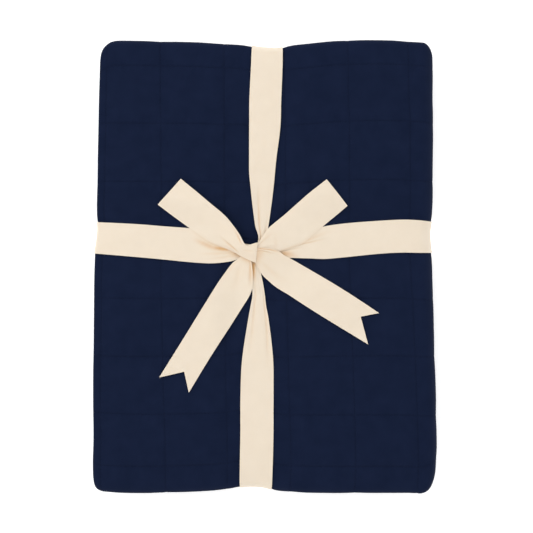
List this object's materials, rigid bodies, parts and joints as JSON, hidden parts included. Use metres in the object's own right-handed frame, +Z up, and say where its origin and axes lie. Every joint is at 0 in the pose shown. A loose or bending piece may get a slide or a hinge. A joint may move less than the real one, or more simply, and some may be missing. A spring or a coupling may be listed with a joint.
{
  "type": "folded quilted blanket",
  "caption": "Navy quilted blanket folded into a flat oblong bundle, tied lengthwise and crosswise with a cream woven ribbon and a flat bow.",
  "frame": {"origin": "on the surface that the bundle lies on, under the middle of its outline", "axes": "+Y along the bundle towards the end that is at the top of the picture, +X across it, +Z up"},
  "size_m": [0.3857, 0.5087, 0.0644],
  "materials": {
    "quilted_cloth": "soft matt navy jersey, machine quilted in squares",
    "ribbon": "matt cream woven cotton ribbon"
  },
  "bodies": {
    "root": {"blanket": "quilted_cloth", "ribbon_band_long": "ribbon", "ribbon_band_cross": "ribbon", "bow_loop_left": "ribbon", "bow_loop_right": "ribbon", "bow_tail_left": "ribbon", "bow_tail_right": "ribbon", "bow_knot": "ribbon"}
  },
  "joints": []
}
